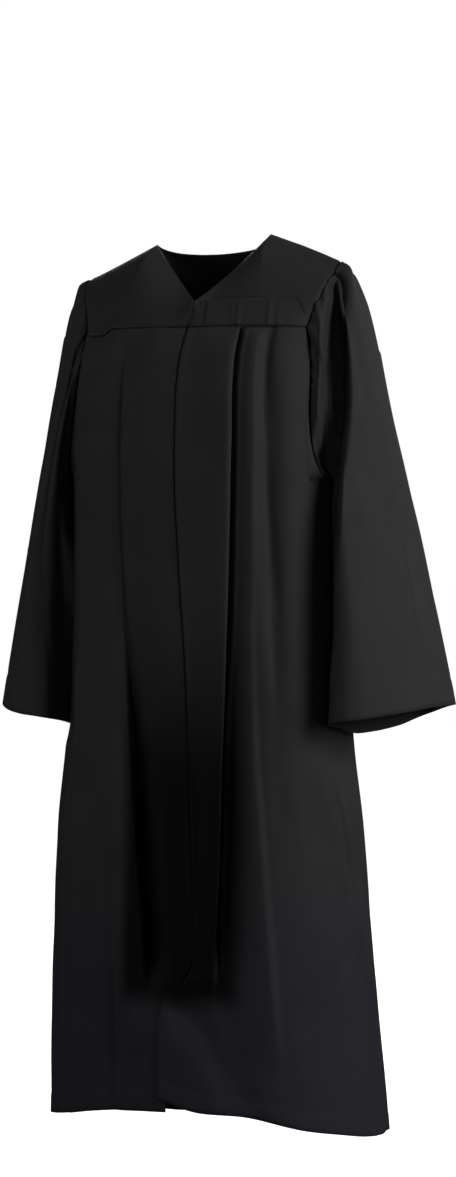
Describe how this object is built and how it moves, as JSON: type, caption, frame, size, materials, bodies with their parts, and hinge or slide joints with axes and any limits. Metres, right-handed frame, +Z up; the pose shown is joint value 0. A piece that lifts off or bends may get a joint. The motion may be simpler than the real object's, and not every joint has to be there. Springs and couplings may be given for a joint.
{
  "type": "graduation gown",
  "caption": "Black ankle-long graduation gown in the hollow form it has when worn, with yoke, pressed pleats, bell sleeves and a front zip whose pull tab swings.",
  "frame": {"origin": "midway between the two points where the neck edge meets the shoulder seams, where the wearer's shoulders hold the gown", "axes": "+Z up, the gown faces -Y, the wearer's left is +X"},
  "size_m": [0.6734, 0.3692, 1.306],
  "materials": {
    "gown_cloth": "matte black woven polyester with a slight sheen",
    "yoke_cloth": "matte black woven polyester, pressed flat",
    "zip_tape": "black woven tape",
    "zip_metal": "dark enamelled metal, glossy"
  },
  "bodies": {
    "gown": {"front_left": "gown_cloth", "front_right": "gown_cloth", "back": "gown_cloth", "yoke_front_left": "yoke_cloth", "yoke_front_right": "yoke_cloth", "yoke_back": "yoke_cloth", "yoke_band_left": "yoke_cloth", "sleeve_left": "gown_cloth", "sleeve_right": "gown_cloth", "zip_tape_left": "zip_tape", "zip_tape_right": "zip_tape", "zip_slider": "zip_metal"},
    "pull": {"zip_pull": "zip_metal"}
  },
  "joints": [
    {"name": "pull_swing", "type": "hinge", "parent": "gown", "child": "pull", "pos_m": [0.00572, -0.10502, -0.09794], "axis": [-1, 0, 0], "range_deg": [0, 150]}
  ]
}
